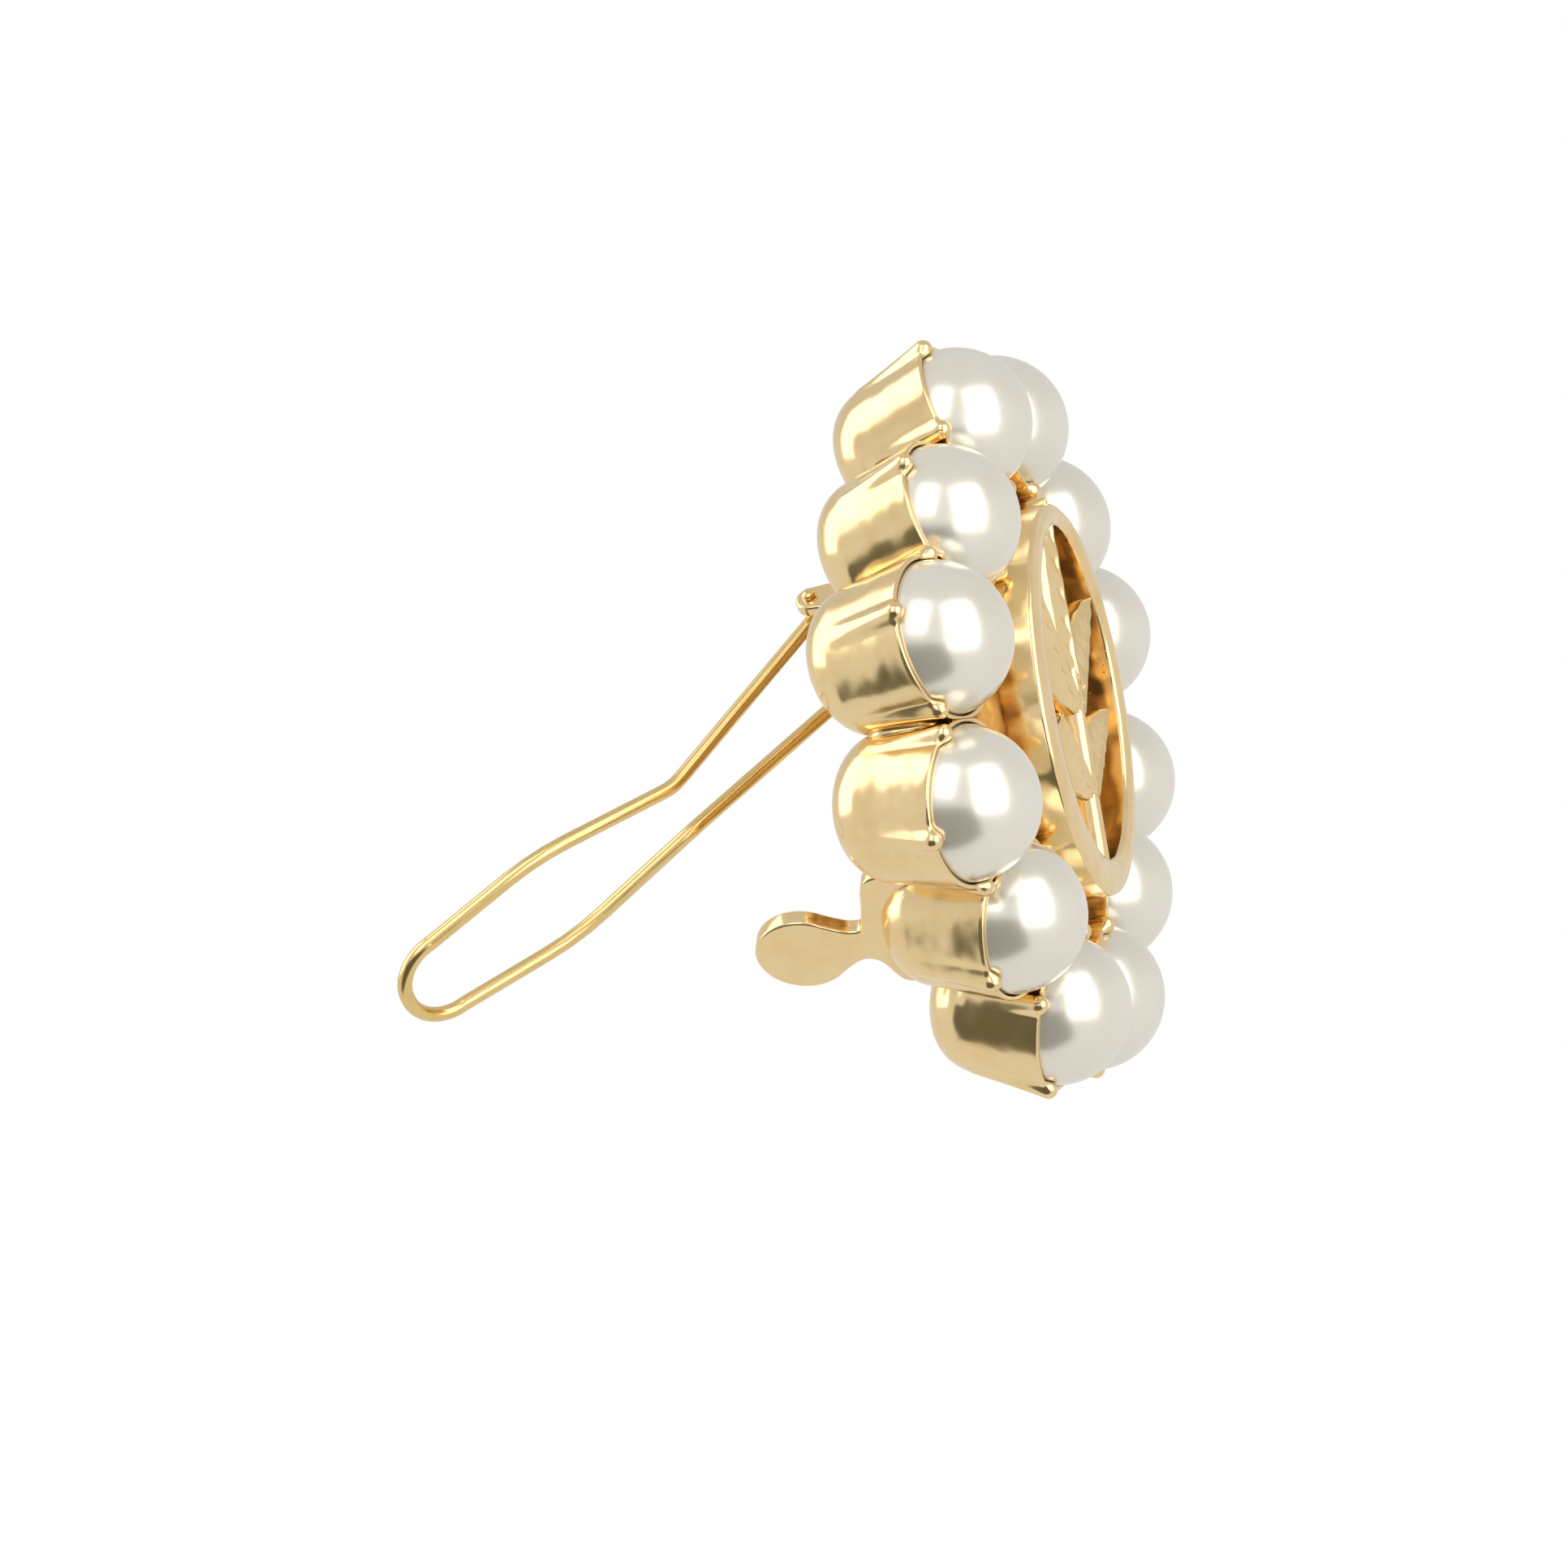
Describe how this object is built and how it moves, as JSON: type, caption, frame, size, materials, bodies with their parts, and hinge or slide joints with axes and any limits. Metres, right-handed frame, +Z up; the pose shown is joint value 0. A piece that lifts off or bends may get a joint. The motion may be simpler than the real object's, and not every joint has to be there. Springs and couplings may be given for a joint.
{
  "type": "barrette",
  "caption": "Oval pearl-ringed hair barrette with a raised leaf emblem and a sprung wire loop that snaps over a paddle catch on the back.",
  "frame": {"origin": "middle of the base plate's back face, where the hair lies", "axes": "+Z up along the oval, +Y out of the back towards the wire clip, -Y is the front with the pearls"},
  "size_m": [0.0514, 0.0472, 0.0498],
  "materials": {
    "gold": "bright polished pale gold plate",
    "recess_gold": "unpolished plated casting surface, brushed",
    "wire_gold": "gold-plated spring steel wire",
    "pearl": "white pearlescent lacquer"
  },
  "bodies": {
    "barrette_back": {"pearl_01": "pearl", "pearl_02": "pearl", "pearl_03": "pearl", "pearl_04": "pearl", "pearl_05": "pearl", "pearl_06": "pearl", "pearl_07": "pearl", "pearl_08": "pearl", "pearl_09": "pearl", "pearl_10": "pearl", "pearl_11": "pearl", "pearl_12": "pearl", "cup_01": "gold", "cup_02": "gold", "cup_03": "gold", "cup_04": "gold", "cup_05": "gold", "cup_06": "gold", "cup_07": "gold", "cup_08": "gold", "cup_09": "gold", "cup_10": "gold", "cup_11": "gold", "cup_12": "gold", "base_plate": "recess_gold", "leaf_emblem": "gold", "hinge_bracket": "gold", "catch_tab": "gold"},
    "loop": {"wire_loop": "wire_gold"}
  },
  "joints": [
    {"name": "loop_hinge", "type": "hinge", "parent": "barrette_back", "child": "loop", "pos_m": [0.00651, 0.01217, 0.00651], "axis": [0.7071, 0, -0.7071], "range_deg": [-52, 50]}
  ]
}
